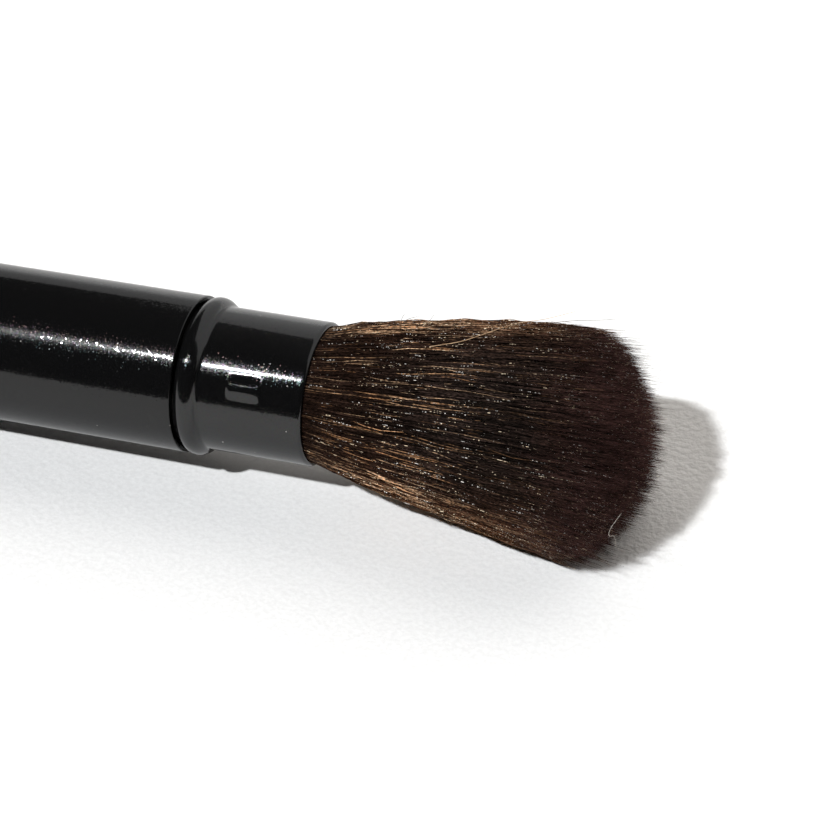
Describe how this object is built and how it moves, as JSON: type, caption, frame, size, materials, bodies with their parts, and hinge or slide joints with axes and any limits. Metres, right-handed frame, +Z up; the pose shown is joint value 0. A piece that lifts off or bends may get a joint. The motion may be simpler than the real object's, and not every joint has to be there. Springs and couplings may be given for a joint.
{
  "type": "double-ended makeup brush",
  "caption": "Double-ended makeup brush: a slim gloss tube handle with a beaded metal ferrule at each end, one holding a full domed powder head, the other a small detail head.",
  "frame": {"origin": "on the table that the brush lies on, under the middle of its bounding box", "axes": "+X towards the powder head, +Y sideways, +Z up from the table; the brush's own axis lies in the XZ plane and rises 1.3 degrees towards +X"},
  "size_m": [0.1948, 0.0245, 0.0242],
  "materials": {
    "barrel_lacquer": "high-gloss black lacquer on a thin drawn aluminium tube, bare of lettering",
    "ferrule_lacquer": "the same high-gloss black lacquer on a drawn and beaded aluminium ferrule",
    "powder_hair": "near-black brown hair with single golden-brown strands and soft tips",
    "detail_hair": "near-black brown hair with soft tips",
    "binding_thread": "waxed natural thread",
    "root_resin": "set amber resin",
    "plug_plastic": "natural moulded plastic"
  },
  "bodies": {
    "root": {"barrel_tube": "barrel_lacquer", "powder_ferrule": "ferrule_lacquer", "powder_bristles": "powder_hair", "powder_root_binding": "binding_thread", "powder_root_glue": "root_resin", "powder_ferrule_plug": "plug_plastic", "detail_ferrule": "ferrule_lacquer", "detail_bristles": "detail_hair", "detail_root_binding": "binding_thread", "detail_root_glue": "root_resin", "detail_ferrule_plug": "plug_plastic"}
  },
  "joints": []
}
